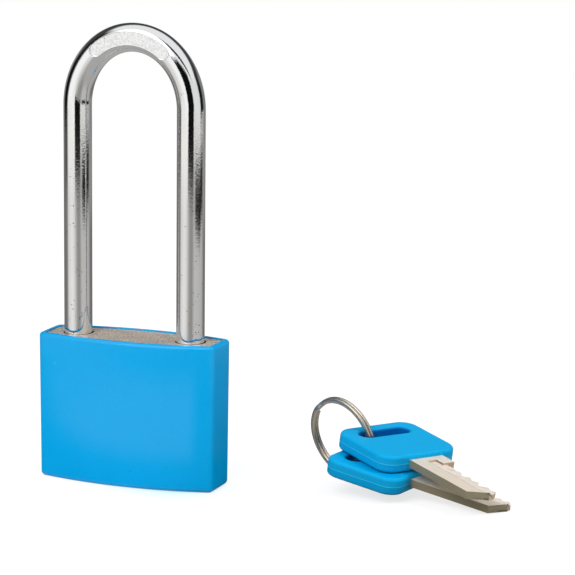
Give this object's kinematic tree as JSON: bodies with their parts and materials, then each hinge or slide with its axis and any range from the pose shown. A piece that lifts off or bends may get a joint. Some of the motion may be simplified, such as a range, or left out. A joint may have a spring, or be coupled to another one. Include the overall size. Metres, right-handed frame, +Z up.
{
  "type": "padlock",
  "caption": "Key-operated padlock with a long round shackle, a plastic jacket over a metal block, and two plastic-headed keys on a split ring.",
  "frame": {"origin": "middle of the padlock's base, on the surface that it stands on", "axes": "+Z up along the shackle's legs, +X from the shackle's fixed heel to its free toe, +Y from the front face to the back"},
  "size_m": [0.1352, 0.0463, 0.1298],
  "materials": {
    "cover": "satin moulded blue plastic, smooth with a soft sheen",
    "block": "dull grey-brown metal, lightly brushed",
    "shackle": "bright plated steel with fine pits",
    "steel": "plain machined steel",
    "spring": "drawn spring wire",
    "plug": "machined brass",
    "pins": "turned brass",
    "ring": "bright nickel plated spring steel",
    "key_head": "satin moulded blue plastic",
    "key_blade": "milled nickel silver with fine tool marks"
  },
  "bodies": {
    "casing": {"cover": "cover", "lock_body": "block", "stop_pin": "steel", "plug_pin": "steel", "chamber_seals": "pins", "latch_bore_seal": "pins", "shackle_spring": "spring", "pin_springs": "spring"},
    "shackle": {"shackle": "shackle"},
    "plug": {"plug": "plug", "locking_cam": "plug"},
    "key_pins": {"key_pins": "pins"},
    "driver_pins": {"driver_pins": "steel"},
    "toe_latch": {"toe_latch": "steel"},
    "heel_latch": {"heel_latch": "steel"},
    "key_ring": {"split_ring": "ring"},
    "upper_key": {"upper_key_head": "key_head", "upper_key_blade": "key_blade"},
    "lower_key": {"lower_key_head": "key_head", "lower_key_blade": "key_blade"}
  },
  "joints": [
    {"name": "shackle_lift", "type": "slide", "parent": "casing", "child": "shackle", "axis": [0, 0, 1], "range_m": [0, 0.0144], "deforming": ["shackle_spring"]},
    {"name": "plug_turn", "type": "hinge", "parent": "casing", "child": "plug", "pos_m": [0, 0, 0.002], "axis": [0, 0, 1], "range_deg": [0, 90]},
    {"name": "toe_latch_throw", "type": "slide", "parent": "casing", "child": "toe_latch", "axis": [1, 0, 0], "range_m": [0, 0.0018]},
    {"name": "heel_latch_throw", "type": "slide", "parent": "casing", "child": "heel_latch", "axis": [-1, 0, 0], "range_m": [0, 0.0018]},
    {"name": "key_pins_drop", "type": "slide", "parent": "plug", "child": "key_pins", "axis": [0, 1, 0], "range_m": [0, 0.0012]},
    {"name": "driver_pins_lift", "type": "slide", "parent": "casing", "child": "driver_pins", "axis": [1, 0, 0], "range_m": [0, 0.001], "stiffness_N_per_m": 120, "deforming": ["pin_springs"]},
    {"name": "key_ring_lift", "type": "slide", "parent": "casing", "child": "key_ring", "axis": [0, 0, 1], "range_m": [0, 0.06]},
    {"name": "upper_key_swing", "type": "hinge", "parent": "key_ring", "child": "upper_key", "pos_m": [0.054, 0.025, 0.01197], "axis": [-0.4099, -0.8886, -0.2057], "range_deg": [0, 90]},
    {"name": "lower_key_swing", "type": "hinge", "parent": "key_ring", "child": "lower_key", "pos_m": [0.054, 0.025, 0.01197], "axis": [0.4099, 0.8886, 0.2057], "range_deg": [0, 90]}
  ],
  "couplings": [
    {"joint": "toe_latch_throw", "follows": "plug_turn", "m_per_rad": 0.0011459},
    {"joint": "heel_latch_throw", "follows": "plug_turn", "m_per_rad": 0.0011459}
  ]
}
